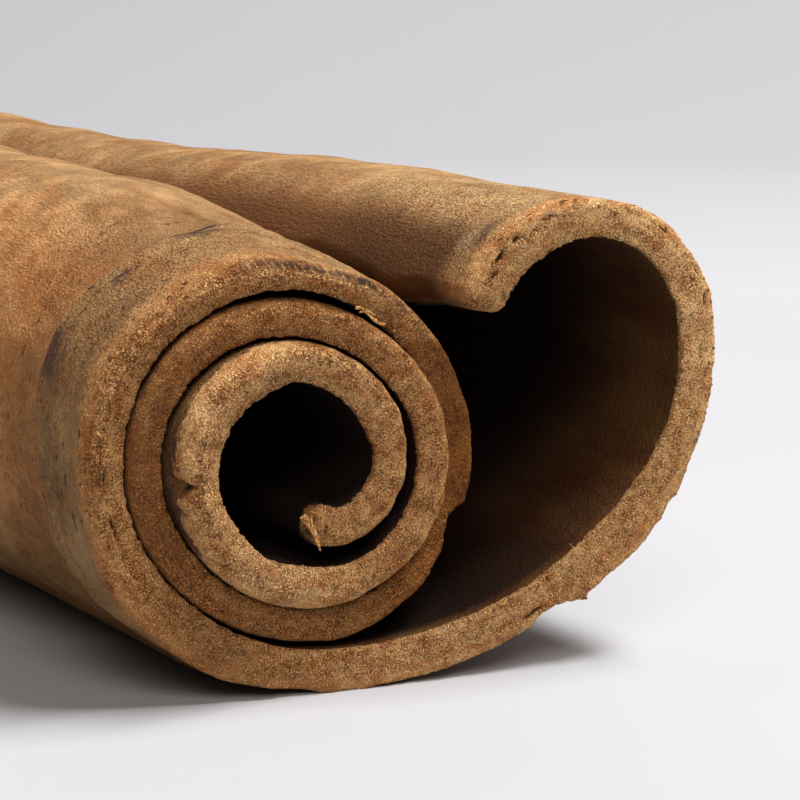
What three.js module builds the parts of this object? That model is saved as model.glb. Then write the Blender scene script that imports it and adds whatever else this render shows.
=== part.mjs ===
// One cinnamon stick: a single sheet of dried bark, rolled tight on its left side and curled wide
// open on its right, so that the roll and the curl lie side by side along the whole length.
// Units are millimetres. The stick lies along Y with its shown cut end at -Y, and +Z is up.
import * as THREE from 'three';

const LENGTH = 80;          // from the foremost to the rearmost point of the bark
const BARK = 1.38;          // thickness of the sheet in the roll
const EDGE_BULGE = 0.4;     // how far the sheet's two long edges bulge
const RIM = 0.3;            // wear that rounds both cut ends
const CURL_WEAR = 0.35;     // the curl's rims are worn by this share of it
const INNER_WEAR = 0.6;     // and inner rims by this share

// the tight roll, seen from the front: sweep is the angle in degrees, clockwise from its lowest
// point and growing inwards, so that one more turn adds 360
const ROLL_X = -1.7;        // middle of the roll
const ROLL_Z = 8.67;
const ROLL_RADIUS = 7.95;   // from there to the middle of the bark, at sweep 0
const PITCH = 1.59;         // the radius lost in each turn: the bark and the gap inside it
const OVAL = 0.49;          // how far the outer turn is out of round
const OVAL_LOSS = 0.1;      // and how much rounder each turn is than the one outside it
const OVAL_SWEEP = 114;     // sweep of its widest direction
const TIP_SWEEP = 1062;     // the sheet's inner edge
const TIP_BEND = 0.63;      // how far that edge bends in from the spiral
const TIP_BEND_FROM = 990;
const SWEEP_STEP = 15;
const HEADING_STEP = 0.5;   // the sweep over which the sheet's heading is taken

// the open curl: arcs that carry on from the roll's lowest point, each a radius and an angle
const CURL_ARCS = [[17.9, 46.5], [9.2, 57], [4.3, 31.5], [5, 114.5]];
const CURL_STEP = 1.9;      // spacing of the points along it

// thickness of the sheet in the curl, as run along it and thickness
const CURL_BARK = [
  [0, 1.38], [6, 1.48], [10, 1.42], [13, 1.75], [16, 1.75], [19.5, 1.42], [25, 1.45], [30, 1.35],
  [33, 1.75], [36, 1.85],
];

// how the turns of the roll press on each other, as sweep and bark gained on that skin
const INNER_FIT = [
  [0, 0], [20, 0.08], [50, 0.18], [100, 0.25], [145, 0.1], [165, -0.12], [180, -0.2], [200, -0.15],
  [230, 0], [270, 0], [300, 0.1], [330, 0], [590, 0], [610, -0.1], [680, -0.12], [720, 0.1],
  [800, 0.05], [850, 0.3], [880, 0.28], [905, 0.1],
];
const OUTER_FIT = [
  [0, 0.1], [8, 0.16], [21, 0.28], [40, 0.22], [65, 0.15], [90, 0], [340, 0], [360, -0.1],
  [480, -0.12], [500, 0], [630, 0], [660, 0.1], [690, 0.05], [720, 0.12], [770, 0.08], [800, 0],
  [950, 0], [1020, -0.1], [1045, -0.05],
];

// how far the shown end lies behind its general plane, as sweep and depth: the innermost turn
// stands proud on its left, and the outer turn is broken back on its right
const SETBACKS = [
  [0, 0], [195, 0.05], [225, 0.7], [250, 1.2], [285, 1.25], [320, 0.6], [360, 0.3], [400, 0],
  [680, 0], [725, -0.4], [765, -1.0], [800, -1.2], [860, -0.95], [905, -0.25], [980, 0],
];
const PROUD = 1.2;          // the largest of them
const SETBACK_REACH = 12;   // depth over which the rows even out behind the end

// swollen rim on the upper left of the outer turn, and the waist behind it: depth and height
const SWELL = [[0, -0.25], [1, 0.05], [2.4, 0.4], [4, 0.6], [5.6, 0.1], [8, 0]];
const SWELL_SWEEPS = [20, 150, 165, 235];   // it starts, is full from, is full to, and ends
const WAIST = [[4, 0], [5.6, -0.25], [8, -0.4], [11.5, -0.25], [16, 0]];
const WAIST_SWEEPS = [25, 60, 160, 215];

// chip out of the outer turn at its lower right, as sweep and bite
const CHIP = [[286, 0], [289, 0.35], [292, 0.6], [296, 0.55], [302, 0.3], [320, 0.18], [345, 0]];
const CHIP_DEPTH = 2.6;

// how far the tops of the roll and of the curl lie above those at the shown end: steps as height
// and the depths that each begins and ends at
const ROLL_LIFT = [[2.2, 0, 18], [0.9, 18, 46]];
const CURL_LIFT = [[0.35, 3, 13], [-0.35, 18, 48], [0.75, 50, 76]];
const LIFT_TOP = 16.5;      // height that they are stated for
const LIFT_POWER = 1.5;     // they grow with height by this power
const LIFT_BLEND = [0, 8];  // runs between which the roll's lift gives way to the curl's

// extra thickness along the underside, worn off flat to leave a strip to rest on: a narrow nub at
// the shown end, which widens behind it. Its sweeps and runs are those that it fades between
const NUB = 0.19;
const NUB_RUNS = [0, 1.2, 2.4, 3.2];
const SOLE = 0.6;
const SOLE_SWEEPS = [5, 30];
const SOLE_RUNS = [5, 9];
const SOLE_DEPTHS = [1, 5];
const FOOT = 0.03;          // height of the strip before the stick is set down on it

// waves of the skin as height and turns round the sheet and along the stick, those of the cut ends
// as height and turns round it, and those of the curl's lip as height and turns along it
const SKIN_WAVES = [[0.07, 0.9, 0.05], [0.06, 0.35, 0.23], [0.04, -0.8, 0.61]];
const CURL_RUNS = [3, 9];   // runs over which the open curl's own form begins
const OUTER_SWEEPS = [10, 40, 215, 250];    // where the skin waves show on the outer turn
const BORE_SWEEPS = [700, 760];             // and from where they show inside the innermost one
const PLAIN_DEPTHS = [1, 10];               // the curl has none at its shown end
const END_WAVES = [[0.05, 2.7, 1], [0.04, 5.9, 2]];
const LIP_WAVES = [[0.2, 0.42, -0.9], [0.1, 1.3, 0]];
const LIP_REACH = 0.22;
const LIP_RUN = 4;          // length of sheet that takes up its wander

// depths of the rows of vertices behind the general plane of the shown end
const END_DEPTH = LENGTH - PROUD;
const ROWS = [
  0, 0.3, 1.2, 2.4, 4, 5.6, 8, 11.5, 16, 21, 27, 33, 39, 45, 51, 57, 63, 68.5, 73.5, 77, 78.5, END_DEPTH,
];

const radians = THREE.MathUtils.degToRad;
const ease = THREE.MathUtils.smoothstep;
const lerp = THREE.MathUtils.lerp;

// straight-line reading of a list of [place, value] pairs whose places rise
function readList(list, place) {
  const after = list.findIndex(([at]) => at >= place);
  if (after < 0) return list[list.length - 1][1];
  if (after === 0) return list[0][1];
  const [a, low] = list[after - 1];
  const [b, high] = list[after];
  return low + (high - low) * (place - a) / (b - a);
}

// 1 between the two middle places of four, falling smoothly to 0 at the outer two
function band([start, full, until, end], place) {
  return ease(place, start, full) * (1 - ease(place, until, end));
}

// middle of the bark in the roll
function rollPoint(sweep) {
  const turn = sweep / 360;
  const oval = (OVAL - OVAL_LOSS * turn) * Math.cos(2 * radians(sweep - OVAL_SWEEP));
  const bend = Math.max(0, (sweep - TIP_BEND_FROM) / (TIP_SWEEP - TIP_BEND_FROM));
  const radius = ROLL_RADIUS - PITCH * turn + oval - TIP_BEND * bend * bend;
  const angle = radians(-90 - sweep);
  return { x: ROLL_X + radius * Math.cos(angle), z: ROLL_Z + radius * Math.sin(angle) };
}

// the sheet's middle line from its inner edge to its lip. Each point has its heading along the
// sheet, the outward direction (nx, nz), its sweep in the roll and its run along the curl
function sheetLine() {
  const line = [];
  const addPoint = (x, z, heading, sweep, run) => {
    line.push({ x, z, heading, sweep, run, nx: Math.sin(heading), nz: -Math.cos(heading) });
  };
  const lowest = rollPoint(0);
  let { x, z } = lowest;
  let heading = 0;
  let run = 0;
  for (let sweep = TIP_SWEEP; sweep >= 0; sweep = Math.ceil(sweep / SWEEP_STEP - 1) * SWEEP_STEP) {
    const here = rollPoint(sweep);
    const next = rollPoint(sweep - HEADING_STEP);
    heading = Math.atan2(next.z - here.z, next.x - here.x);
    addPoint(here.x, here.z, heading, sweep, run);
  }
  for (const [radius, angle] of CURL_ARCS) {
    const steps = Math.ceil(radius * radians(angle) / CURL_STEP);
    const turn = radians(angle) / steps;
    for (let step = 0; step < steps; step += 1) {
      x += radius * (Math.sin(heading + turn) - Math.sin(heading));
      z -= radius * (Math.cos(heading + turn) - Math.cos(heading));
      heading += turn;
      run += radius * turn;
      addPoint(x, z, heading, 0, run);
    }
  }
  return line;
}

// distance round the sheet, only used to place relief
function roundTheSheet(point) {
  return radians(point.sweep) * ROLL_RADIUS - point.run;
}

// sum of a list of [height, ...] entries, each times what shape gives for it
function total(list, shape) {
  return list.reduce((sum, entry) => sum + entry[0] * shape(entry), 0);
}

// uneven skin: long flutes along the stick, crossed by slow swells
function skinRelief(point, depth) {
  const round = roundTheSheet(point);
  return total(SKIN_WAVES, ([, around, along]) => Math.sin(around * round + along * depth));
}

// raggedness of a cut end
function endRelief(point, phase) {
  const round = roundTheSheet(point);
  return total(END_WAVES, ([, around, phases]) => Math.sin(around * round + phases * phase));
}

// how far the outer and the inner skin lie from the sheet's middle line
function skinOffsets(point, depth) {
  const half = readList(CURL_BARK, point.run) / 2;
  const inCurl = ease(point.run, ...CURL_RUNS);
  const relief = skinRelief(point, depth) * (1 - inCurl * (1 - ease(depth, ...PLAIN_DEPTHS)));
  const outside = inCurl + band(OUTER_SWEEPS, point.sweep);
  const bore = ease(point.sweep, ...BORE_SWEEPS);
  let outer = half + relief * outside + readList(OUTER_FIT, point.sweep);
  const inner = half - relief * inCurl + relief * bore / 2 + readList(INNER_FIT, point.sweep);
  outer += readList(SWELL, depth) * band(SWELL_SWEEPS, point.sweep);
  outer += readList(WAIST, depth) * band(WAIST_SWEEPS, point.sweep);
  const nub = NUB * band(NUB_RUNS, point.run);
  const sole = SOLE * (1 - ease(point.sweep, ...SOLE_SWEEPS)) * (1 - ease(point.run, ...SOLE_RUNS));
  outer += lerp(nub, sole, ease(depth, ...SOLE_DEPTHS));
  outer -= readList(CHIP, point.sweep) * (1 - ease(depth, CHIP_DEPTH / 2, CHIP_DEPTH));
  const wear = RIM * lerp(1, CURL_WEAR, inCurl) * (1 - ease(Math.min(depth, END_DEPTH - depth), 0, RIM));
  return { outer: outer - wear, inner: inner - INNER_WEAR * wear };
}

// the lip of the open curl wanders a little along the stick
function lipWander(depth) {
  return LIP_REACH + total(LIP_WAVES, ([, along, phase]) => Math.sin(along * depth + phase));
}

// how far a point of the sheet is lifted behind the shown end
function liftAt(point, depth) {
  const step = ([, start, end]) => ease(depth, start, end);
  const full = lerp(total(ROLL_LIFT, step), total(CURL_LIFT, step), ease(point.run, ...LIFT_BLEND));
  return full * (point.z / LIFT_TOP) ** LIFT_POWER;
}

// place of one vertex: side is 1 on the outer skin, -1 on the inner one and 0 on the sheet's
// edges, and reach moves it on along the sheet
function vertex(point, depth, side, reach) {
  const { outer, inner } = skinOffsets(point, depth);
  const offset = { 1: outer, 0: 0, [-1]: -inner }[side];
  const x = point.x + point.nx * offset + Math.cos(point.heading) * reach;
  const z = point.z + point.nz * offset + Math.sin(point.heading) * reach + liftAt(point, depth);
  const front = readList(SETBACKS, point.sweep) + endRelief(point, 1);
  const back = endRelief(point, 4);
  const y = depth + front * Math.max(0, 1 - depth / SETBACK_REACH)
    + back * Math.max(0, 1 - (END_DEPTH - depth) / SETBACK_REACH);
  return new THREE.Vector3(x, y, Math.max(z, FOOT));
}

// one closed row of vertices round the sheet: out along the outer skin, over the lip, back along
// the inner skin and round the inner edge
function sheetRow(line, depth) {
  const first = line[0];
  const last = line[line.length - 1];
  const lip = (point) => lipWander(depth) * ease(point.run, last.run - LIP_RUN, last.run);
  return [
    ...line.map((point) => vertex(point, depth, 1, lip(point))),
    vertex(last, depth, 0, lip(last) + EDGE_BULGE),
    ...[...line].reverse().map((point) => vertex(point, depth, -1, lip(point))),
    vertex(first, depth, 0, -EDGE_BULGE),
  ];
}

// skin between the rows, and both cut ends as strips from the outer to the inner skin
function barkGeometry() {
  const line = sheetLine();
  const rows = ROWS.map((depth) => sheetRow(line, depth));
  const around = rows[0].length;
  const triangles = [];
  for (let row = 0; row < rows.length - 1; row += 1) {
    for (let at = 0; at < around; at += 1) {
      const a = row * around + at;
      const b = row * around + (at + 1) % around;
      triangles.push(a, a + around, b, b, a + around, b + around);
    }
  }
  const count = line.length;
  const back = (rows.length - 1) * around;
  for (let at = 0; at < count - 1; at += 1) {
    const other = around - 2 - at;
    triangles.push(at, at + 1, other, at + 1, other - 1, other);
    triangles.push(back + at, back + other, back + at + 1, back + at + 1, back + other, back + other - 1);
  }
  for (const edge of [[count - 1, count, count + 1], [around - 2, around - 1, 0]]) {
    triangles.push(...edge, ...edge.map((at) => back + at).reverse());
  }
  const geometry = new THREE.BufferGeometry().setFromPoints(rows.flat());
  geometry.setIndex(triangles);
  geometry.computeBoundingBox();
  const { min, max } = geometry.boundingBox;
  geometry.translate(-(min.x + max.x) / 2, -(min.y + max.y) / 2, -min.z);
  geometry.computeVertexNormals();
  return geometry;
}

const barkMaterial = new THREE.MeshStandardMaterial({ color: 0xa5703f, roughness: 0.9, metalness: 0 });
const bark = new THREE.Mesh(barkGeometry(), barkMaterial);
bark.name = 'bark';

const stick = new THREE.Group();
stick.add(bark);

export default stick;
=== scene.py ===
"""A cinnamon stick: one sheet of cassia bark, rolled tight on its left and curled wide on its right."""
import bmesh
import bpy
import numpy as np
from mathutils import Euler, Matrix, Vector


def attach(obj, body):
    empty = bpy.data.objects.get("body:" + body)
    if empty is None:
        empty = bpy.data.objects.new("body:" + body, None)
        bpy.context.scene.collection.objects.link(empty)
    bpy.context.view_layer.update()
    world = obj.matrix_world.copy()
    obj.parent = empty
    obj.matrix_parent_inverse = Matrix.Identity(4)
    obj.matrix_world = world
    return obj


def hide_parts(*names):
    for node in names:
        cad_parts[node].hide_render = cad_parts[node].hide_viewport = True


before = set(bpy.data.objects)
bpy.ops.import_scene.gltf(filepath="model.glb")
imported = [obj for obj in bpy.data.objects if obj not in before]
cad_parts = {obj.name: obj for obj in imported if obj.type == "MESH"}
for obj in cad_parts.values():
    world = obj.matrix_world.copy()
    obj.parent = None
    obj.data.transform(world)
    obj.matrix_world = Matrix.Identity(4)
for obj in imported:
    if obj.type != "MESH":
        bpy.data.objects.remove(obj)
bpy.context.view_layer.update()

# ---- The sheet of bark ---------------------------------------------------------------------
# Thick cassia bark, sawn across and dried until it rolled itself up: nearly three tight turns on
# its left, and on its right one wide curl whose lip turns back in. Lengths here are millimetres.
MM = 0.001
PLACE = np.array([-2.833, -38.837, -0.03])     # takes the sheet's own places to the frame's
LENGTH = 80.0
BARK = 1.38                 # thickness of the sheet in the roll
EDGE_BULGE = 0.4            # how far its two long edges bulge
PROUD = 1.2                 # how far the innermost turn stands out of the shown end
END_DEPTH = LENGTH - PROUD  # depth of the far end behind the general plane of the shown one

# the tight roll: sweep is the angle in degrees, clockwise from its lowest point, growing inwards
ROLL_X = -1.7
ROLL_Z = 8.67
ROLL_RADIUS = 7.95
PITCH = 1.59                # the radius lost in each turn
OVAL = 0.49
OVAL_LOSS = 0.1
OVAL_SWEEP = 114
TIP_SWEEP = 1062            # the sheet's inner edge
TIP_BEND = 0.63
TIP_BEND_FROM = 990

# the open curl: arcs that carry on from the roll's lowest point, each a radius and an angle
CURL_ARCS = [[17.9, 46.5], [9.2, 57], [4.3, 31.5], [5.0, 114.5]]

# thickness of the sheet in the curl by its run, and by sweep what the turns of the roll gain or lose
# on each skin where they press on each other
CURL_BARK = [
    [0, 1.38], [6, 1.48], [10, 1.42], [13, 1.75], [16, 1.75], [19.5, 1.42], [25, 1.45], [30, 1.35],
    [33, 1.75], [36, 1.85],
]
INNER_FIT = [
    [0, 0], [20, 0.08], [50, 0.18], [100, 0.25], [145, 0.1], [165, -0.12], [180, -0.2], [200, -0.15],
    [230, 0], [270, 0], [300, 0.1], [330, 0], [590, 0], [610, -0.1], [680, -0.12], [720, 0.1],
    [800, 0.05], [850, 0.3], [880, 0.28], [905, 0.1],
]
OUTER_FIT = [
    [0, 0.1], [8, 0.16], [21, 0.28], [40, 0.22], [65, 0.15], [90, 0], [340, 0], [360, -0.1],
    [480, -0.12], [500, 0], [630, 0], [660, 0.1], [690, 0.05], [720, 0.12], [770, 0.08], [800, 0],
    [950, 0], [1020, -0.1], [1045, -0.05],
]

# the form along the stick, as places with values: the shown end's setbacks by sweep, and by depth
# the swollen rim on the upper left and the waist behind it
SETBACKS = [
    [0, 0], [195, 0.05], [225, 0.7], [250, 1.2], [285, 1.25], [320, 0.6], [360, 0.3], [400, 0],
    [680, 0], [725, -0.4], [765, -1.0], [800, -1.2], [860, -0.95], [905, -0.25], [980, 0],
]
SETBACK_REACH = 12
SWELL = [[0, -0.25], [1, 0.05], [2.4, 0.4], [4, 0.6], [5.6, 0.1], [8, 0]]
SWELL_SWEEPS = [20, 150, 165, 235]
WAIST = [[4, 0], [5.6, -0.25], [8, -0.4], [11.5, -0.25], [16, 0]]
WAIST_SWEEPS = [25, 60, 160, 215]
ROLL_LIFT = [[2.2, 0, 18], [0.9, 18, 46]]      # steps of height, each between two depths
CURL_LIFT = [[0.35, 3, 13], [-0.35, 18, 48], [0.75, 50, 76]]
LIFT_TOP = 16.5             # height that they are stated for
LIFT_POWER = 1.5            # they grow with height by this power
LEDGE = 0.14                # the ragged step down behind the swollen rim
NUB = 0.19                  # extra thickness of the underside at the shown end, in a narrow nub,
SOLE = 0.6                  # and behind it in a wide strip
FOOT = 0.03                 # height of the flat strip worn along them
CHIP = [[286, 0], [289, 0.35], [292, 0.6], [296, 0.55], [302, 0.3], [320, 0.18], [345, 0]]
CHIP_DEPTH = 2.6

# how far in the outer rim of the shown end is rounded off, by sweep or minus run, and how far the
# middle of its cut face stands out between its rims
RIM_ROUND = [
    [-36, 0.3], [-32, 0.3], [-27, 0.22], [-24, 0.07], [-4, 0.08], [0, 0.25], [60, 0.4], [150, 0.6],
    [215, 0.5], [240, 0.2], [310, 0.25], [400, 0.4], [500, 0.5], [575, 0.45], [610, 0.16], [690, 0.3],
    [730, 0.6], [800, 0.7], [880, 0.6], [930, 0.4], [970, 0.2], [1062, 0.2],
]
INNER_ROUND = 0.06
INNER_BITE = 1.6            # the inner rim is more ragged than the outer one by this factor
CROWN = 0.3                 # as a share of the rounding

# small losses along the outer rim, as sweep or minus run, half width, bite and depth; a bite below
# nothing is a flake that stands out
RIM_CHIPS = [
    [-10.5, 1.15, 0.27, 1.2], [-11.9, 0.25, -0.14, 0.4], [-12.9, 0.6, 0.08, 0.8],
    [-2.2, 0.5, -0.06, 0.6], [-16.6, 0.5, 0.10, 0.7], [-21.7, 0.4, 0.10, 0.6],
    [-26.4, 0.6, 0.09, 0.5], [805, 0.24, 0.50, 1.2], [780, 0.3, 0.12, 0.8],
]
# cracks and pits in the shown cut face, as sweep or minus run, height across the sheet, half
# length, half height and depth
CRACKS = [
    [88, -0.17, 0.75, 0.05, 0.22], [76, -0.14, 0.65, 0.06, 0.25], [65, 0.02, 0.7, 0.05, 0.16],
    [806, 0.38, 0.12, 0.50, 0.60], [823, 0.62, 0.08, 0.24, 0.35], [796, 0.66, 0.15, 0.20, 0.55],
    [766, 0.45, 0.45, 0.09, 0.22], [889, 0.32, 0.14, 0.09, 0.22], [590, 0.48, 0.16, 0.08, 0.20],
    [-34.6, 0.34, 0.34, 0.13, 0.30], [-33.7, 0.40, 0.34, 0.10, 0.26], [-33.0, 0.20, 0.18, 0.08, 0.16],
    [-35.2, 0.05, 0.2, 0.12, 0.22], [-32.3, 0.42, 0.25, 0.07, 0.18], [-31.2, 0.46, 0.3, 0.06, 0.18],
    [-29.2, 0.48, 0.30, 0.05, 0.2], [-27.6, 0.52, 0.45, 0.05, 0.22], [-25.8, 0.50, 0.5, 0.05, 0.25],
    [-24.2, 0.48, 0.4, 0.06, 0.2], [-21.5, 0.44, 0.35, 0.05, 0.18], [-9.9, 0.30, 0.5, 0.07, 0.22],
    [948, 0.42, 0.5, 0.05, 0.18], [921, 0.45, 0.4, 0.05, 0.16], [300, 0.30, 0.3, 0.05, 0.2],
]
CRACK_FADE = 0.55           # depth by which they and the relief of the cut have run out

# the skin's long flutes, as height and the angle that the wave turns by per millimetre round the
# sheet and along the stick; then its unevenness, as layers of noise with height, cell and seed
FLUTES = [[0.07, 0.9, 0.05], [0.06, 0.35, 0.23], [0.04, -0.8, 0.61]]
KNOTS = [[0.05, [2.6, 5, 9], 1], [0.022, [0.9, 1.5, 9], 2]]
FINE_KNOTS = [[0.012, [0.45, 0.6, 9], 3]]
WRINKLES = [[0.03, [2.2, 0.42, 9], 4], [0.02, [1.1, 0.9, 9], 5], [0.05, [4.5, 1.0, 9], 10]]
SWELL_CREST = [[0.09, [1.3, 0.8, 9], 13]]
LEDGE_WANDER = [[0.45, [1.2, 9, 9], 14], [0.2, [0.5, 9, 9], 15]]
LIP_WANDER = [[0.06, [1, 0.8, 0.5], 12], [0.05, [1, 0.4, 0.3], 16]]

rng = np.random.default_rng(11)
NOISE_SLOPES = rng.normal(size=(256, 3))
NOISE_SLOPES /= np.linalg.norm(NOISE_SLOPES, axis=1)[:, None]
NOISE_ORDER = rng.permutation(256)


def ease(value, low, high):
    """0 up to low, 1 from high, and three squares less two cubes of the share between them."""
    share = np.clip((value - low) / (high - low), 0, 1)
    return share * share * (3 - 2 * share)


def band(value, places):
    """1 between the two middle places of four, easing to 0 at the outer two."""
    start, full, until, end = places
    return ease(value, start, full) * (1 - ease(value, until, end))


def read_list(pairs, place):
    """Value at a place in a list of [place, value] pairs, eased from each pair to the next."""
    places, values = np.array(pairs, float).T
    after = np.clip(np.searchsorted(places, place), 1, len(places) - 1)
    share = ease(place, places[after - 1], places[after])
    return values[after - 1] + share * (values[after] - values[after - 1])


def cloud(places, cell, seed=0):
    """Gradient noise from about -1 to 1. Each corner of a lattice of cells holds a random slope; a
    place takes its eight corners' slopes times its distance from them, blended by a quintic ease."""
    at = places / np.asarray(cell, float) + 37.3 * seed
    low = np.floor(at).astype(int)
    part = at - low
    share = part ** 3 * (part * (part * 6 - 15) + 10)
    total = 0.0
    for corner in np.ndindex(2, 2, 2):
        node = (low + corner) & 255
        pick = NOISE_ORDER[node[..., 0]]
        pick = NOISE_ORDER[(pick + node[..., 1]) & 255]
        pick = NOISE_ORDER[(pick + node[..., 2]) & 255]
        slope = (NOISE_SLOPES[pick] * (part - corner)).sum(-1)
        total = total + slope * np.where(corner, share, 1 - share).prod(-1)
    return 1.7 * total


def clouds(places, layers, seed=0):
    """The sum of layers of noise, each a height, a cell and a seed."""
    return sum(height * cloud(places, cell, seed + own) for height, cell, own in layers)


def roll_point(sweep):
    """Middle of the bark in the roll: a spiral that loses PITCH a turn, its radius swelling twice a
    turn by the oval, and bent in over its last stretch."""
    turn = sweep / 360
    oval = (OVAL - OVAL_LOSS * turn) * np.cos(2 * np.radians(sweep - OVAL_SWEEP))
    bend = np.clip((sweep - TIP_BEND_FROM) / (TIP_SWEEP - TIP_BEND_FROM), 0, None)
    radius = ROLL_RADIUS - PITCH * turn + oval - TIP_BEND * bend ** 2
    angle = np.radians(-90 - sweep)
    return np.stack([ROLL_X + radius * np.cos(angle), ROLL_Z + radius * np.sin(angle)], -1)


ROLL_SAMPLES = 4250         # fine samples of the spiral, and below of the curl's arcs
CURL_SAMPLES = 3600


def sheet_line(steps):
    """Points evenly spaced along the sheet's middle line, from its inner edge to its lip, as columns
    x, z, heading, sweep, run along the curl and distance along the whole sheet. The roll is the
    spiral; the curl's heading grows along each arc by length over radius, and its place is the sum
    of the headings' steps."""
    sweep = np.linspace(TIP_SWEEP, 0, ROLL_SAMPLES)
    place = roll_point(sweep)
    ahead = roll_point(sweep - 0.5) - place
    heading = np.unwrap(np.arctan2(ahead[:, 1], ahead[:, 0]))
    roll = np.column_stack([place, heading, sweep, np.zeros_like(sweep)])
    radius, angle = np.array(CURL_ARCS, float).T
    arc_ends = np.concatenate([[0], np.cumsum(radius * np.radians(angle))])
    arc_headings = heading[-1] + np.concatenate([[0], np.cumsum(np.radians(angle))])
    run = np.linspace(0, arc_ends[-1], CURL_SAMPLES + 1)
    curl_heading = np.interp(run, arc_ends, arc_headings)
    middle = (curl_heading[1:] + curl_heading[:-1]) / 2
    steps_xz = np.column_stack([np.cos(middle), np.sin(middle)]) * run[1]
    curl_place = place[-1] + np.cumsum(steps_xz, axis=0)
    curl = np.column_stack([curl_place, curl_heading[1:], np.zeros(CURL_SAMPLES), run[1:]])
    line = np.vstack([roll, curl])
    gaps = np.linalg.norm(np.diff(line[:, :2], axis=0), axis=1)
    distance = np.concatenate([[0], np.cumsum(gaps)])
    even = np.linspace(0, distance[-1], steps + 1)
    return np.column_stack([np.interp(even, distance, column) for column in line.T] + [even])


STEPS = 1360                # even steps along the sheet
ACROSS = 12                 # steps across its thickness on the shown cut face
line = sheet_line(STEPS)
lip_run = line[-1, 4]


def distance_at(place):
    """Distance along the sheet of a sweep, or of a run along the curl given as a minus number."""
    return np.interp(-np.asarray(place, float), line[:, 4] - line[:, 3], line[:, 5])


def way_round(point):
    """Millimetres round the sheet from the roll's lowest point, growing into the roll."""
    return np.radians(point[:, 3]) * ROLL_RADIUS - point[:, 4]


RIM_WANDER = [[0.16, 1.4, 0], [0.16, 0.3, 1]]
RIM_TEETH = [[0.045, 0.15, 50], [0.03, 0.34, 51]]
TEETH_REACH = [0.05, 0.35]  # depths between which the teeth run out


def rim_wear(distance, depth, radius, bite, seed):
    """How far a rim is worn off at a depth: a quarter circle whose radius wanders by noise, plus
    fine teeth, scaled by bite, where single grains have come out."""
    spot = np.column_stack([distance, depth * 0, depth * 0])
    radius = radius * np.clip(1 + clouds(spot, RIM_WANDER, seed), 0.3, 2)
    from_end = np.minimum(depth, END_DEPTH - depth)
    near = np.clip(from_end / radius, 0, 1)
    rounding = radius * (1 - np.sqrt(1 - (1 - near) ** 2))
    return rounding - bite * clouds(spot, RIM_TEETH, seed) * (1 - ease(from_end, *TEETH_REACH))


def skins(point, depth):
    """Distance of the outer and the inner skin from the middle line: half the thickness, with long
    flutes from sines, knots and wrinkles from noise, the swollen rim, the ledge and the waist
    behind it, the sole, chips and worn rims."""
    _, _, _, sweep, run, distance = point.T
    half = read_list(CURL_BARK, run) / 2
    angles = [around * way_round(point) + along * depth for _, around, along in FLUTES]
    flutes = sum(flute[0] * np.sin(angle) for flute, angle in zip(FLUTES, angles))
    in_curl = ease(run, 3, 9)
    flutes *= 1 - in_curl * (1 - ease(depth, 1, 10))
    spot = np.column_stack([distance, depth, depth * 0])
    knots = clouds(spot, KNOTS) + (1 - ease(depth, 8, 11)) * clouds(spot, FINE_KNOTS)
    outside = in_curl + ease(sweep, 10, 40) * (1 - ease(sweep, 215, 250))
    bore = ease(sweep, 700, 760)
    rim_side = band(sweep, [20, 60, 215, 240])
    outer = half + (flutes + knots) * outside + read_list(OUTER_FIT, sweep)
    outer += clouds(spot, WRINKLES) * rim_side * (1 - ease(depth, 5, 8)) * ease(depth, 0.2, 1)
    outer += read_list(SWELL, depth) * band(sweep, SWELL_SWEEPS)
    outer += clouds(spot, SWELL_CREST) * band(depth, [2.4, 3.6, 4.8, 6]) * rim_side
    outer += read_list(WAIST, depth) * band(sweep, WAIST_SWEEPS)
    outer -= LEDGE * band(depth + clouds(spot, LEDGE_WANDER), [3.9, 4.35, 6, 11]) * rim_side
    nub = NUB * band(run, [0, 1.2, 2.4, 3.2])
    sole = SOLE * (1 - ease(sweep, 5, 30)) * (1 - ease(run, 5, 9))
    outer += nub + (sole - nub) * ease(depth, 1, 5)
    jagged = 1 + 0.4 * cloud(spot, [0.5, 0.7, 9], 6)
    outer -= read_list(CHIP, sweep) * (1 - ease(depth * jagged, CHIP_DEPTH / 2, CHIP_DEPTH))
    for at, width, bite, reach in RIM_CHIPS:
        off = np.abs(distance - distance_at(at)) / width * jagged
        outer -= bite * (1 - ease(off, 0.2, 1.1)) * (1 - ease(depth, reach * 0.5, reach))
    inner = half - (flutes + 0.6 * knots) * in_curl + 0.5 * (flutes + knots) * bore
    inner += read_list(INNER_FIT, sweep)
    rounded = read_list(RIM_ROUND, sweep - run)
    outer -= rim_wear(distance, depth, rounded, 1.0, 7)
    return outer, inner - rim_wear(distance, depth, INNER_ROUND, INNER_BITE, 9)


# the crumbly cut surface: slow dips down to single grains, and ribs that run across the thickness
CUT_RELIEF = [[0.04, 1.6, 0], [0.03, 0.5, 1], [0.026, 0.26, 2], [0.02, [0.25, 0.7, 1], 3]]


def end_relief(distance, height, seed):
    """How far the cut surface stands out: the sum of its layers of noise."""
    return clouds(np.column_stack([distance, height, height * 0]), CUT_RELIEF, seed)


def crack_depth(distance, height):
    """Depth of the cracks and pits at a place of the shown face: each is a soft-edged oval whose
    outline is bent by noise."""
    spot = np.column_stack([distance, height, height * 0])
    bent = np.column_stack([cloud(spot, 0.35, 31), cloud(spot, 0.3, 32)]) * [0.16, 0.08]
    total = np.zeros(len(distance))
    for place, at_height, half_length, half_height, depth in CRACKS:
        along = (distance + bent[:, 0] - distance_at(place)) / half_length
        over = (height + bent[:, 1] - at_height) / half_height
        total = np.maximum(total, depth * (1 - ease(np.hypot(along, over), 0.3, 1.2)))
    return total


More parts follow.
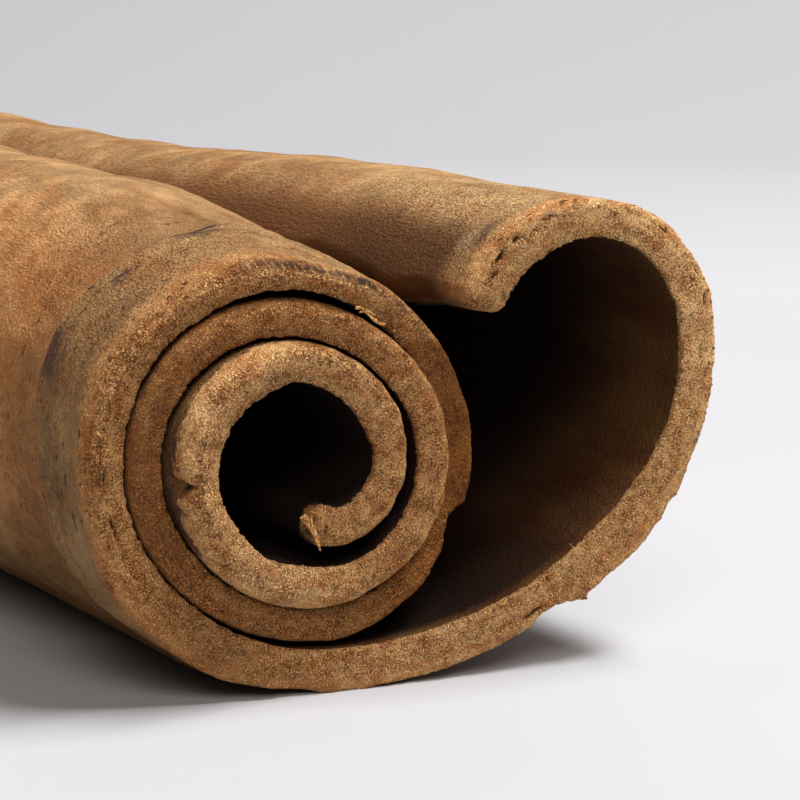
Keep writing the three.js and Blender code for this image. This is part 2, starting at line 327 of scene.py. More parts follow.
def lift_at(point, depth):
    """How far a point of the middle line is lifted behind the shown end: the sum of eased steps of
    height, blended from the roll's to the curl's, times a power of the point's own height."""
    roll = sum(height * ease(depth, start, end) for height, start, end in ROLL_LIFT)
    curl = sum(height * ease(depth, start, end) for height, start, end in CURL_LIFT)
    full = roll + (curl - roll) * ease(point[:, 4], 0, 8)
    return full * (np.clip(point[:, 1], 0, None) / LIFT_TOP) ** LIFT_POWER


END_WAVES = 2.7             # the cut ends wave this much in angle per millimetre round the sheet
END_WAVE_HEIGHT = 0.03


def bark_surface(step, across, beyond, depth):
    """Places in millimetres on the sheet's surface, with their unrolled places and how deep they
    lie in a crack. step counts along the middle line; across is 1 on the outer skin, -1 on the
    inner one and between them on the cut ends and edges; beyond continues the sheet past its edges;
    depth is measured from the shown end's general plane. A place is the middle line, plus the
    outward direction times the skin's distance, plus the heading times what lies beyond."""
    point = line[step]
    x, z, heading, sweep, run, distance = point.T
    outer, inner = skins(point, depth)
    height = np.where(across > 0, outer, inner) * across
    lip = 0.22 + 0.2 * np.sin(0.42 * depth - 0.9) + 0.1 * np.sin(1.3 * depth)
    lip += clouds(np.column_stack([distance * 0, depth, height]), LIP_WANDER)
    reach = lip * ease(run, lip_run - 4, lip_run) + beyond
    x = x + np.sin(heading) * height + np.cos(heading) * reach
    z = z - np.cos(heading) * height + np.sin(heading) * reach
    z = z + lift_at(point, depth)
    wave = END_WAVES * way_round(point)
    front = read_list(SETBACKS, sweep) + END_WAVE_HEIGHT * np.sin(wave + 1)
    back = END_WAVE_HEIGHT * np.sin(wave + 4)
    from_back = END_DEPTH - depth
    cracks = crack_depth(distance, height)
    shown = 1 - ease(depth, 0, CRACK_FADE)
    hidden = 1 - ease(from_back, 0, CRACK_FADE)
    y = depth + front * np.clip(1 - depth / SETBACK_REACH, 0, 1)
    y += back * np.clip(1 - from_back / SETBACK_REACH, 0, 1)
    crown = np.clip(height / (BARK / 2), -1.3, 1.3) ** 2 - 1
    crown *= CROWN * read_list(RIM_ROUND, sweep - run)
    y += (cracks + crown - end_relief(distance, height, 20)) * shown
    y -= (crown - end_relief(distance, height, 40)) * hidden
    place = np.column_stack([x, y, np.maximum(z, FOOT)])
    flat = np.column_stack([distance + reach, depth, height])
    return place, flat, cracks * (1 - ease(depth, 0.3, 0.8))


def loop_places():
    """One closed row round the sheet: out along the outer skin, over the lip, back along the inner
    skin and round the inner edge. Gives each place's step, across and beyond, where the edges bulge
    as half an oval."""
    count = np.arange(STEPS + 1)
    edge = np.arange(1, ACROSS)
    bulge = EDGE_BULGE * np.sqrt(1 - (1 - 2 * edge / ACROSS) ** 2)
    step = np.concatenate([count, edge * 0 + STEPS, count[::-1], edge * 0])
    across = np.concatenate([count * 0 + 1, 1 - 2 * edge / ACROSS, count * 0 - 1, 2 * edge / ACROSS - 1])
    beyond = np.concatenate([count * 0, bulge, count * 0, -bulge])
    return step, across, beyond


def row_keep(loop, seen_stride, hidden_stride, edge_stride):
    """Which places of the loop a row keeps: the skins that can be seen finely, those between the
    turns coarsely."""
    step, across, _ = loop
    sweep, run = line[step, 3], line[step, 4]
    seen = np.where(across > 0, (sweep < 330) | (run > 0), (run > 2.5) | (sweep > 690))
    stride = np.where(seen, seen_stride, hidden_stride)
    on_skin = np.abs(across) == 1
    edge_count = np.round((1 - across) * ACROSS / 2).astype(int)
    return np.flatnonzero(np.where(on_skin, step % stride == 0, edge_count % edge_stride == 0))


def stitch(front_ids, front_keep, back_ids, back_keep):
    """Triangles between two closed rows, one of which has every place of the other. Each step of
    the finer row joins the coarse place nearest to it, and each step of the coarser row joins the
    finer row's place where that changes."""
    flip = len(front_keep) < len(back_keep)
    fine, coarse = (back_keep, front_keep) if flip else (front_keep, back_keep)
    fine_ids, coarse_ids = (back_ids, front_ids) if flip else (front_ids, back_ids)
    start = np.searchsorted(fine, coarse)
    gap = np.diff(np.append(start, len(fine)))
    change = start + (gap + 1) // 2
    each = np.arange(len(fine))
    owner = np.searchsorted(start, each, side="right") - 1
    owner = (owner + (each >= change[owner])) % len(coarse)
    following = np.roll(fine_ids, -1)
    tip = fine_ids[change % len(fine)]
    next_coarse = np.roll(coarse_ids, -1)
    if flip:
        return np.vstack([
            np.column_stack([coarse_ids[owner], fine_ids, following]),
            np.column_stack([coarse_ids, tip, next_coarse]),
        ])
    return np.vstack([
        np.column_stack([fine_ids, coarse_ids[owner], following]),
        np.column_stack([tip, coarse_ids, next_coarse]),
    ])


def end_face(row_ids, keep, stride, edge_stride, first_new):
    """Grid over a cut end from the outer rim to the inner one. Gives its triangles and, for the new
    places inside the rims, their steps and across values. The rims and edges use the row's own."""
    id_of = np.full(2 * (STEPS + ACROSS), -1)
    id_of[keep] = row_ids
    steps = np.arange(0, STEPS + 1, stride)
    levels = np.arange(0, ACROSS + 1, edge_stride)
    inner_start = 2 * STEPS + ACROSS
    grid = np.empty((len(steps) + 2, len(levels)), int)
    grid[1:-1, 0] = id_of[steps]
    grid[1:-1, -1] = id_of[inner_start - steps]
    new_count = len(steps) * (len(levels) - 2)
    grid[1:-1, 1:-1] = first_new + np.arange(new_count).reshape(len(steps), -1)
    grid[-1] = id_of[STEPS + levels]
    grid[0] = id_of[(2 * (STEPS + ACROSS) - levels) % (2 * (STEPS + ACROSS))]
    a, b, c, d = grid[:-1, :-1], grid[1:, :-1], grid[1:, 1:], grid[:-1, 1:]
    triangles = np.vstack([np.stack([a, b, d], -1).reshape(-1, 3), np.stack([b, c, d], -1).reshape(-1, 3)])
    real = (triangles[:, 0] != triangles[:, 1]) & (triangles[:, 1] != triangles[:, 2])
    real &= triangles[:, 0] != triangles[:, 2]
    across = 1 - 2 * levels[1:-1] / ACROSS
    return triangles[real], np.repeat(steps, len(across)), np.tile(across, len(steps))


# depths of the rows from the shown end to the far one, with the strides of the skins that can be
# seen, of those that can't and of the sheet's edges
ROWS = [
    [[0.0], [1, 1, 1]],
    [[0.045, 0.11, 0.2], [1, 2, 1]],
    [[0.32, 0.5, 0.75, 1.05], [1, 4, 2]],
    [np.arange(1.33, 9.6, 0.29), [2, 8, 2]],
    [np.arange(10.3, 76.6, 1.3), [4, 8, 4]],
    [END_DEPTH - np.array([1.2, 0.7, 0.4, 0.2, 0.08]), [4, 8, 2]],
    [[END_DEPTH], [2, 2, 2]],
]


def bark_mesh():
    """Rows of the loop, finest near the shown cut, stitched together and closed by a grid over each
    end. Gives places, unrolled places, crack depths, across values and triangles."""
    loop = loop_places()
    rows = [(depth, row_keep(loop, *strides)) for depths, strides in ROWS for depth in depths]
    step, across, beyond = loop
    parts = []
    for depth, keep in rows:
        parts.append((step[keep], across[keep], beyond[keep], np.full(len(keep), float(depth))))
    sizes = np.array([len(keep) for _, keep in rows])
    starts = np.concatenate([[0], np.cumsum(sizes)])
    ids = [start + np.arange(size) for start, size in zip(starts, sizes)]
    triangles = []
    for row in range(len(rows) - 1):
        triangles.append(stitch(ids[row], rows[row][1], ids[row + 1], rows[row + 1][1]))
    first_new = starts[-1]
    front, front_steps, front_across = end_face(ids[0], rows[0][1], 1, 1, first_new)
    first_new += len(front_steps)
    back, back_steps, back_across = end_face(ids[-1], rows[-1][1], 2, 2, first_new)
    parts.append((front_steps, front_across, front_steps * 0.0, front_steps * 0.0))
    parts.append((back_steps, back_across, back_steps * 0.0, back_steps * 0 + END_DEPTH))
    step, across, beyond, depth = (np.concatenate(column) for column in zip(*parts))
    place, flat, cracks = bark_surface(step, across.astype(float), beyond, depth)
    return place, flat, cracks, across, np.vstack(triangles + [front, back[:, ::-1]])


def new_piece(name, places, faces, material):
    """A mesh object from places in the sheet's own millimetres, smooth shaded, with its material."""
    mesh = bpy.data.meshes.new(name)
    mesh.from_pydata(((places + PLACE) * MM).tolist(), [], np.asarray(faces).tolist())
    mesh.shade_smooth()
    mesh.materials.append(material)
    piece = bpy.data.objects.new(name, mesh)
    bpy.context.scene.collection.objects.link(piece)
    return piece


def add_layer(piece, name, values):
    """A named attribute on the mesh's vertices, of numbers or of vectors."""
    kind, field = ("FLOAT", "value") if values.ndim == 1 else ("FLOAT_VECTOR", "vector")
    layer = piece.data.attributes.new(name, kind, "POINT")
    layer.data.foreach_set(field, values.astype(np.float32).ravel())


def add_node(tree, kind, inputs=(), **settings):
    """A shader node with its settings; inputs pairs a socket with a value or with another socket."""
    made = tree.nodes.new(kind)
    for key, value in settings.items():
        setattr(made, key, value)
    for key, value in dict(inputs).items():
        if isinstance(value, bpy.types.NodeSocket):
            tree.links.new(value, made.inputs[key])
        else:
            made.inputs[key].default_value = value
    return made


def new_group(name, takes, gives):
    """An empty shader group with its named sockets; gives back its tree and its two end nodes."""
    tree = bpy.data.node_groups.new(name, "ShaderNodeTree")
    for side, sockets in (("INPUT", takes), ("OUTPUT", gives)):
        for socket, kind in sockets:
            tree.interface.new_socket(name=socket, in_out=side, socket_type="NodeSocket" + kind)
    return tree, tree.nodes.new("NodeGroupInput"), tree.nodes.new("NodeGroupOutput")


def scaled(tree, place, factors):
    """A place multiplied by a factor on each axis."""
    made = add_node(tree, "ShaderNodeVectorMath", {0: place, 1: factors}, operation="MULTIPLY")
    return made.outputs[0]


def noise(tree, place, size, detail=3.0, rough=0.55, bend=0.0):
    """Noise whose features are about size millimetres wide on each axis, bent by bend of them."""
    factors = [1 / each for each in size]
    settings = {"Vector": scaled(tree, place, factors), "Scale": 1.0, "Detail": detail,
                "Roughness": rough, "Distortion": bend}
    return add_node(tree, "ShaderNodeTexNoise", settings).outputs["Fac"]


def curve(tree, value, low, high, to_low=0.0, to_high=1.0):
    """A value eased from low to high onto a new range, held at its ends."""
    sockets = {0: value, 1: low, 2: high, 3: to_low, 4: to_high}
    return add_node(tree, "ShaderNodeMapRange", sockets, interpolation_type="SMOOTHSTEP").outputs[0]


def maths(tree, kind, first, second):
    """One step of arithmetic on two values."""
    return add_node(tree, "ShaderNodeMath", {0: first, 1: second}, operation=kind).outputs[0]


def mixed(tree, share, first, second, kind="MIX"):
    """Two colours mixed by a share, or by the kind of blend that is named."""
    made = add_node(tree, "ShaderNodeMix", data_type="RGBA", blend_type=kind)
    for socket, value in ((made.inputs[0], share), (made.inputs[6], first), (made.inputs[7], second)):
        if isinstance(value, bpy.types.NodeSocket):
            tree.links.new(value, socket)
        else:
            socket.default_value = value
    return made.outputs[2]


def between(tree, share, first, second):
    """A value between two others by a share."""
    sockets = {0: share, 2: first, 3: second}
    return add_node(tree, "ShaderNodeMix", sockets, data_type="FLOAT").outputs[0]


def blend_sum(tree, parts):
    """The sum of values, each times its weight."""
    total = 0.0
    for value, weight in parts:
        made = add_node(tree, "ShaderNodeMath", {0: value, 1: weight, 2: total}, operation="MULTIPLY_ADD")
        total = made.outputs[0]
    return total


def grain_group():
    """Broken bark: crumbs and torn fibre ends less than a tenth of a millimetre wide, with ribs across the
    sheet and slow patches of tone. Its colour follows their height as painted shade and light: dark between
    the crumbs, bright on their tips."""
    tree, takes, gives = new_group(
        "Broken bark",
        [("Place", "Vector"), ("Calm", "Float"), ("Pit shade", "Color"), ("Dark", "Color"), ("Pale", "Color")],
        [("Colour", "Color"), ("Height", "Float")],
    )
    place = takes.outputs["Place"]
    crumbs = curve(tree, noise(tree, place, (0.07, 0.07, 0.08), 3.0, 0.65, 0.2), 0.36, 0.64)
    ribs = curve(tree, noise(tree, place, (0.12, 0.2, 0.5), 2.0, 0.5, 0.3), 0.3, 0.7)
    lumps = curve(tree, noise(tree, place, (0.34, 0.34, 0.3), 3.0, 0.6), 0.34, 0.66)
    rough = blend_sum(tree, [(crumbs, 0.62), (ribs, 0.14), (lumps, 0.24)])
    calm = maths(tree, "MULTIPLY", takes.outputs["Calm"], 0.4)
    height = between(tree, calm, rough, 0.6)
    patches = curve(tree, noise(tree, place, (1.3, 2.0, 0.8), 3.0, 0.6), 0.33, 0.67, -0.10, 0.10)
    lit = maths(tree, "ADD", height, patches)
    # painted shade and light: low places take the pit shade colour, high ones the pale colour
    low = curve(tree, lit, 0.10, 0.44)
    high = curve(tree, lit, 0.33, 0.84)
    colour = mixed(tree, low, takes.outputs["Pit shade"], takes.outputs["Dark"])
    colour = mixed(tree, high, colour, takes.outputs["Pale"])
    tree.links.new(colour, gives.inputs["Colour"])
    tree.links.new(height, gives.inputs["Height"])
    return tree


broken_bark = grain_group()

# the cut face, its cracks, the outer skin, the lining and the stains, with painted shade and light where
# noted; the tints multiply them
# the cut's colour in the crevices between crumbs, which is painted shade
CUT_PIT_SHADE = (0.160, 0.062, 0.017, 1)
CUT_DARK = (0.490, 0.221, 0.064, 1)
CUT_PALE = (0.840, 0.469, 0.166, 1)
CRACK_BROWN = (0.080, 0.030, 0.011, 1)
SKIN_BROWN = (0.225, 0.100, 0.034, 1)
SKIN_TAN = (0.385, 0.212, 0.086, 1)
SKIN_OLIVE = (0.230, 0.140, 0.056, 1)
# a reddish brown of the skin that also serves as painted shade where it is noted
SKIN_RUSSET_AND_SHADE = (0.150, 0.060, 0.020, 1)
# paler, greyer skin: the skin's own paler tone, and on the curl's top partly painted light and sheen
SKIN_PALER_AND_LIT = (1.38, 1.54, 1.70, 1)
SKIN_WARMER = (1.36, 1.16, 1.00, 1)
SKIN_DARK = (0.095, 0.038, 0.018, 1)
LINING_BROWN = (0.110, 0.036, 0.011, 1)
LINING_OLIVE = (0.170, 0.080, 0.022, 1)
# painted shade: the near black laid on the lining where no light reaches into the hollow
LINING_SHADE_BLACK = (0.020, 0.008, 0.004, 1)
SOOT = (0.065, 0.036, 0.020, 1)
PURPLE = (0.095, 0.050, 0.040, 1)
CREAM = (0.460, 0.350, 0.190, 1)
# rust red, here also painted shade on the cut turns that lie in shadow
RUST_AND_SHADE = (0.200, 0.070, 0.022, 1)
# the darkest tint of the cut also stands for painted shade on the turns that lie in shadow
TINT_DEEP_AND_SHADED = (0.54, 0.36, 0.19, 1)
TINT_RED = (0.86, 0.70, 0.62, 1)
TINT_PALE = (1.06, 1.16, 1.34, 1)
TINT_LIGHT = (1.46, 1.62, 2.02, 1)


# what the bark's vertices carry besides their unrolled place: shares from 0 to 1 of each finish and of the
# painted shade and light
SHARES = (
    "cut", "outside", "crack", "soot", "purple", "cream", "rust_and_shade", "tone", "rind", "russet_and_shade", "grainy",
    "holes", "painted_shade", "pale", "warm",
)


def bark_material():
    """Cut ends of crumbly ochre grains, an outer skin mottled orange brown, olive and purple brown, and a
    smoother dark inner skin. Everything follows the unrolled sheet. Painted shade darkens the lining inside
    the curl, the skin in the valley, under the hook and between the turns, and the cut turns that lie in
    shadow; painted shade and light also follow the crumbs' height."""
    material = bpy.data.materials.new("cassia bark")
    material.use_nodes = True
    tree = material.node_tree
    shader = tree.nodes["Principled BSDF"]
    read = {}
    for name in ("flat", *SHARES):
        made = add_node(tree, "ShaderNodeAttribute", attribute_name=name, attribute_type="GEOMETRY")
        read[name] = made.outputs["Vector"] if name == "flat" else made.outputs["Fac"]
    place = read["flat"]

    crumbly = {"Place": place, "Calm": read["rind"], "Pit shade": CUT_PIT_SHADE, "Dark": CUT_DARK, "Pale": CUT_PALE}
    grain = add_node(tree, "ShaderNodeGroup", crumbly, node_tree=broken_bark)
    # the cut's tone, with painted shade on the turns that lie in shadow
    tint_and_shade = mixed(tree, read["tone"], TINT_DEEP_AND_SHADED, TINT_LIGHT)
    cut = mixed(tree, 1.0, grain.outputs["Colour"], tint_and_shade, "MULTIPLY")
    redder = curve(tree, noise(tree, place, (1.5, 2.0, 0.5), 3.0, 0.6), 0.48, 0.66)
    paler = curve(tree, noise(tree, scaled(tree, place, (1, 1, -1)), (0.9, 1.2, 0.4), 3.0, 0.6), 0.5, 0.68)
    cut = mixed(tree, redder, cut, mixed(tree, 1.0, cut, TINT_RED, "MULTIPLY"))
    cut = mixed(tree, paler, cut, mixed(tree, 1.0, cut, TINT_PALE, "MULTIPLY"))
    holes = curve(tree, noise(tree, place, (0.42, 0.3, 0.11), 2.0, 0.55, 0.3), 0.63, 0.70)
    holes = maths(tree, "MULTIPLY", holes, read["holes"])
    cut = mixed(tree, holes, cut, CRACK_BROWN)
    streaks = curve(tree, noise(tree, place, (0.2, 1, 0.3), 3.0, 0.7), 0.36, 0.56)
    cut = mixed(tree, maths(tree, "MULTIPLY", read["soot"], streaks), cut, SOOT)
    # rust red patches that are also painted shade on turns in shadow
    cut = mixed(tree, maths(tree, "MULTIPLY", read["rust_and_shade"], 0.6), cut, RUST_AND_SHADE)

    mottle = curve(tree, noise(tree, place, (2.0, 3.6, 4), 4.0, 0.65), 0.36, 0.64)
    olive = curve(tree, noise(tree, scaled(tree, place, (1, 1, -1)), (2.6, 4.5, 4), 3.0), 0.47, 0.66)
    skin = mixed(tree, mottle, SKIN_BROWN, SKIN_TAN)
    skin = mixed(tree, maths(tree, "MULTIPLY", olive, 0.6), skin, SKIN_OLIVE)
    flecks = curve(tree, noise(tree, place, (0.7, 1.1, 2), 3.0, 0.6), 0.34, 0.66, 0.82, 1.16)
    skin = mixed(tree, 1.0, skin, flecks, "MULTIPLY")
    wrinkles = noise(tree, place, (0.5, 0.16, 0.5), 3.0, 0.65, 0.4)
    grains = noise(tree, place, (0.11, 0.15, 0.1), 3.0, 0.6)
    fine = blend_sum(tree, [(wrinkles, 0.45), (grains, 0.55)])
    shade = curve(tree, fine, 0.36, 0.64, 0.72, 1.25)
    crusty = mixed(tree, 0.36, mixed(tree, 1.0, skin, shade, "MULTIPLY"), cut)
    skin = mixed(tree, read["grainy"], skin, crusty)
    # reddish brown on the roll's left side, and painted shade in the valley, under the hook and between the
    # turns
    skin = mixed(tree, read["russet_and_shade"], skin, SKIN_RUSSET_AND_SHADE)
    # paler skin: its own tone over the roll's front, partly painted light and sheen on the curl's top
    skin = mixed(tree, read["pale"], skin, mixed(tree, 1.0, skin, SKIN_PALER_AND_LIT, "MULTIPLY"))
    skin = mixed(tree, read["warm"], skin, mixed(tree, 1.0, skin, SKIN_WARMER, "MULTIPLY"))
    specks = curve(tree, noise(tree, place, (0.5, 0.22, 0.5), 3.0, 0.7, 0.3), 0.60, 0.71)
    skin = mixed(tree, maths(tree, "MULTIPLY", specks, read["grainy"]), skin, SKIN_DARK)
    blotch = curve(tree, noise(tree, place, (0.8, 0.45, 2), 4.0, 0.7), 0.38, 0.56)
    skin = mixed(tree, maths(tree, "MULTIPLY", read["purple"], blotch), skin, PURPLE)
    skin = mixed(tree, maths(tree, "MULTIPLY", read["cream"], blotch), skin, CREAM)

    streak = curve(tree, noise(tree, place, (2.5, 9, 1), 4.0), 0.35, 0.65)
    lining = mixed(tree, streak, LINING_BROWN, LINING_OLIVE)
    # painted shade: the lining darkened where the curl shuts it in, and more with depth into the hollow
    lining = mixed(tree, read["painted_shade"], lining, LINING_SHADE_BLACK)

    colour = mixed(tree, read["outside"], lining, skin)
    ragged = curve(tree, noise(tree, place, (0.3, 0.3, 0.3)), 0.3, 0.7, -0.3, 0.3)
    is_cut = curve(tree, maths(tree, "ADD", read["cut"], ragged), 0.3, 0.7)
    colour = mixed(tree, is_cut, colour, cut)
    colour = mixed(tree, curve(tree, read["crack"], 0.04, 0.26), colour, CRACK_BROWN)
    tree.links.new(colour, shader.inputs["Base Color"])

    threads = noise(tree, place, (0.14, 0.5, 0.5), 4.0, 0.6)
    crust = maths(tree, "SUBTRACT", curve(tree, fine, 0.32, 0.68), maths(tree, "MULTIPLY", specks, 0.5))
    skin_height = between(tree, read["grainy"], threads, crust)
    cut_height = blend_sum(tree, [(holes, -1.2), (grain.outputs["Height"], 1.0)])
    height = between(tree, is_cut, skin_height, cut_height)
    bump = add_node(tree, "ShaderNodeBump", {"Distance": 0.00021, "Height": height})
    tree.links.new(bump.outputs[0], shader.inputs["Normal"])
    shader.inputs["Roughness"].default_value = 0.85
    shader.inputs["Specular IOR Level"].default_value = 0.12
    return material


# stains on the shown cut face as place, height across the sheet, half length, half height, and
# stains on the outer skin as sweep, depth, half length and half depth; all end with a strength
FACE_SOOT = [
    [167, 0.45, 1.5, 0.30, 0.7], [182, 0.42, 2.2, 0.34, 1.0], [200, 0.42, 2.0, 0.32, 1.0],
    [222, 0.45, 1.5, 0.35, 0.8],
]
# rust red patches that are also painted shade: on the middle turn's left and on the outer turn's right and
# bottom left, where these lie in the shadow of the turns that stand out
FACE_RUST_AND_SHADE = [[452, 0.1, 5.5, 0.9, 0.75], [25, 0.2, 4.0, 0.9, 0.35], [268, 0.1, 5.0, 0.9, 0.45]]
SKIN_PURPLE = [
    [115, 3.5, 1.2, 1.2, 0.85], [139, 3.2, 0.6, 0.7, 0.9], [162, 3.7, 1.7, 0.9, 1.0],
    [180, 3.0, 1.2, 0.5, 0.6], [82, 2.6, 3.4, 2.0, 0.28], [805, 0.5, 3.2, 1.1, 0.85],
    [128, 1.6, 2.2, 0.6, 0.4], [-34.2, 1.1, 0.8, 0.6, 0.8],
]
SKIN_CREAM = [
    [171, 4.9, 1.2, 0.8, 1.0], [70, 1.4, 1.4, 0.8, 0.5], [108, 4.6, 1.6, 0.8, 0.8], [57, 1.2, 1.3, 0.5, 0.3],
    [-34.6, 2.0, 0.6, 0.5, 0.6],
]


def stains(spots, distance, height):
    """Strength of a list of oval stains, each fading from its middle to its edge."""
    total = np.zeros(len(distance))
    for place, middle, half_length, half_height, strength in spots:
        off = np.hypot((distance - distance_at(place)) / half_length, (height - middle) / half_height)
        total = np.maximum(total, strength * (1 - ease(off, 0.35, 1.1)))
    return total


# by sweep or minus run: how light the cut bark is, from 0 to 1, its own tone with painted shade on the turns
# that lie in the shadow of others (the middle turn's left and bottom, the outer turn's right); and how far
# its crumbly surface goes on over the rounded outer rim
CUT_TONE_AND_SHADE = [
    [-36, 0.58], [-31, 0.86], [-28, 1.0], [-23, 0.98], [-17, 0.64], [-4, 0.62], [0, 0.40], [60, 0.38],
    [200, 0.40], [240, 0.16], [270, 0.03], [320, 0.1], [345, 0.25], [450, 0.18], [540, 0.26],
    [630, 0.36], [680, 0.46], [705, 0.68], [800, 0.70], [900, 0.66], [990, 0.47], [1062, 0.47],
]
CUT_REACH = [
    [-36, 0.9], [-33, 0.9], [-28, 0.5], [-24, 0.3], [-4, 0.3], [30, 0.6], [80, 1.2], [130, 1.6],
    [200, 1.3], [240, 0.5], [600, 0.5], [700, 0.7], [760, 1.1], [880, 1.0], [930, 0.5], [1062, 0.4],
]

# and by run along the curl, how much painted shade darkens the lining: most where the curl shuts it in from
# the light
LINING_PAINTED_SHADE = [[-1, 1], [8, 1], [11, 0.85], [14, 0.3], [17, 0.0], [23, 0.0], [27, 0.4], [36, 0.8]]

places, flat, cracks, across, triangles = bark_mesh()
bark = new_piece("rolled_bark", places, triangles, bark_material())
distance, depth, height = flat.T
near_end = np.minimum(depth, END_DEPTH - depth)
sweep_run = np.interp(distance, line[:, 5], line[:, 3] - line[:, 4])
reach = np.where(across > 0, read_list(CUT_REACH, sweep_run), 0.4)
on_face = 1 - ease(near_end, 0.1, reach)
chipped = np.clip(read_list(CHIP, sweep_run) / 0.4, 0, 1)
chipped *= (1 - ease(depth, 1.6, CHIP_DEPTH)) * (across > 0)
at_edge = ease(distance, line[-1, 5] - 0.15, line[-1, 5] + 0.15) + ease(-distance, -0.15, 0.15)
at_edge *= 1 - ease(near_end, 0.6, 1.5)
add_layer(bark, "flat", flat)
add_layer(bark, "cut", np.clip(on_face + chipped + at_edge, 0, 1))
add_layer(bark, "outside", ease(across.astype(float), -0.5, 0.5) * (1 - ease(sweep_run, 1015, 1045)))
add_layer(bark, "crack", cracks)
# how light each cut turn is: its own tone, with painted shade on the turns that lie in shadow
add_layer(bark, "tone", read_list(CUT_TONE_AND_SHADE, sweep_run))
add_layer(bark, "rind", ease(height, 0.2, 0.65) * (near_end < 2))
# reddish brown along the roll's left side and behind the swollen rim; painted shade on the swollen rim's
# left-facing side, in the valley beside the curl, under the curl's hook and on the outer skins of the inner
# turns, between the turns
russet_and_shade = np.maximum.reduce([
    0.12 * band(sweep_run, [5, 35, 95, 140]) * ease(depth, 4, 8),
    0.3 * band(sweep_run, [45, 70, 125, 150]) * (1 - ease(depth, 5, 8)),
    band(sweep_run, [225, 250, 300, 330]) * ease(depth, 1, 3),
    0.95 * ease(-sweep_run, 33.2, 35) * ease(depth, 1, 3),
    0.3 * band(depth, [4.6, 5.6, 7, 11]) * band(sweep_run, [40, 70, 190, 220]),
    0.6 * ease(sweep_run, 330, 400),
    0.35 * band(depth, [3.9, 4.3, 4.6, 5.4]) * band(sweep_run, [40, 70, 190, 220]),
])
add_layer(bark, "russet_and_shade", russet_and_shade * (across > 0))
add_layer(bark, "grainy", 1 - 0.75 * ease(depth, 6, 16))
add_layer(bark, "holes", 0.12 + 0.7 * ease(height, 0.1, 0.5) * np.maximum(
    band(-sweep_run, [15, 19, 35, 36]), band(sweep_run, [60, 100, 260, 300]),
))
# painted shade on the lining: by run where the curl shuts it in, from close to the cut ends inwards, and
# growing with depth into the hollow
shut_in_shade = read_list(LINING_PAINTED_SHADE, -sweep_run)
shade_from = np.where(sweep_run > 5, 0.02, 0.3)
add_layer(bark, "painted_shade", np.maximum(shut_in_shade * ease(near_end, shade_from, 4 * shade_from), ease(depth, 1, 12)))
# how much paler the skin is: its own tone over the roll's front, and on the curl's top partly painted light
# and sheen
on_roll = band(sweep_run, [20, 60, 250, 290]) * (0.3 + 0.35 * (1 - ease(depth, 5, 9)))
on_roll += 0.25 * band(sweep_run, [120, 150, 250, 290]) * ease(depth, 8, 14)
on_roll += 0.35 * band(sweep_run, [30, 60, 110, 135]) * (1 - ease(depth, 3.5, 4.5))
on_curl = band(-sweep_run, [14, 20, 33.2, 35]) * (0.2 + 0.65 * (1 - ease(depth, 12, 26)))
add_layer(bark, "pale", np.maximum(on_roll, on_curl))
add_layer(bark, "warm", band(sweep_run, [45, 85, 125, 165]) * ease(depth, 3, 5.6))
shown_face = 1 - ease(depth, 0.2, 0.6)
add_layer(bark, "soot", stains(FACE_SOOT, distance, height) * shown_face)
# rust red patches, also painted shade on the cut turns that lie in shadow
add_layer(bark, "rust_and_shade", stains(FACE_RUST_AND_SHADE, distance, height) * shown_face)
add_layer(bark, "purple", stains(SKIN_PURPLE, distance, depth) * (across > 0))
add_layer(bark, "cream", stains(SKIN_CREAM, distance, depth) * (across > 0))
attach(bark, "root")
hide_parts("bark")

# ---- Crumbs and splinters ------------------------------------------------------------------
# Grains and torn fibres of the same bark that still cling to the sawn end: a splinter and a tuft on
# the innermost turn's tip, stiff laths across the gap inside the outer turn, and crumbs on the rims.
# Each crumb is its sweep or minus run, its place across the sheet from -1 to 1 and its size.
CRUMBS = [
    [-11.9, 0.98, 0.15], [-11.7, 0.86, 0.11], [-8.3, -0.98, 0.11], [-8.6, -1.0, 0.14],
    [-8.85, -0.94, 0.09], [-1.8, -0.95, 0.10], [-2.05, -0.98, 0.12], [-32.5, 0.25, 0.07],
    [-34.9, 0.7, 0.10], [-22.5, 0.96, 0.10], [1058, 0.1, 0.13], [1060, 0.45, 0.11],
    [1055, 0.3, 0.09], [1052, 0.7, 0.08], [1061, -0.2, 0.10], [208, -0.97, 0.12],
    [212, -0.95, 0.10], [203, -0.98, 0.09], [205, -0.9, 0.08], [790, 0.95, 0.10],
]
LOOSE = 260                 # finer crumbs strewn over the end
CRUMB_DARK = (0.260, 0.112, 0.034, 1)
CRUMB_PALE = (0.480, 0.250, 0.085, 1)
# each fibre as its start, its end, its half width and its bend, in the sheet's own places
FIBRES = [
    [[-1.74, -0.10, 6.78], [-1.12, -0.30, 5.46], 0.15, 0.10],
    [[-1.50, -0.2, 6.92], [-0.98, -0.34, 6.60], 0.05, 0.05],
    [[-1.40, -0.16, 6.80], [-1.35, -0.30, 6.30], 0.045, -0.06],
    [[0.50, 0.06, 14.30], [1.22, -0.10, 13.98], 0.07, 0.05],
    [[0.86, 0.02, 14.16], [1.52, -0.12, 13.66], 0.06, -0.05],
    [[1.70, 0.06, 13.60], [1.02, -0.06, 13.92], 0.05, 0.06],
    [[0.62, 0.0, 14.10], [1.10, -0.02, 14.14], 0.04, 0.02],
    [[9.50, -0.08, 4.80], [9.68, -0.14, 4.50], 0.025, 0.04],
]
RINGS = 7                   # rings along a fibre, and sides round it
SIDES = 8
DENTS = [[0.45, 0.13, 61], [0.2, 0.05, 62]]    # of the crumbs, as layers of noise


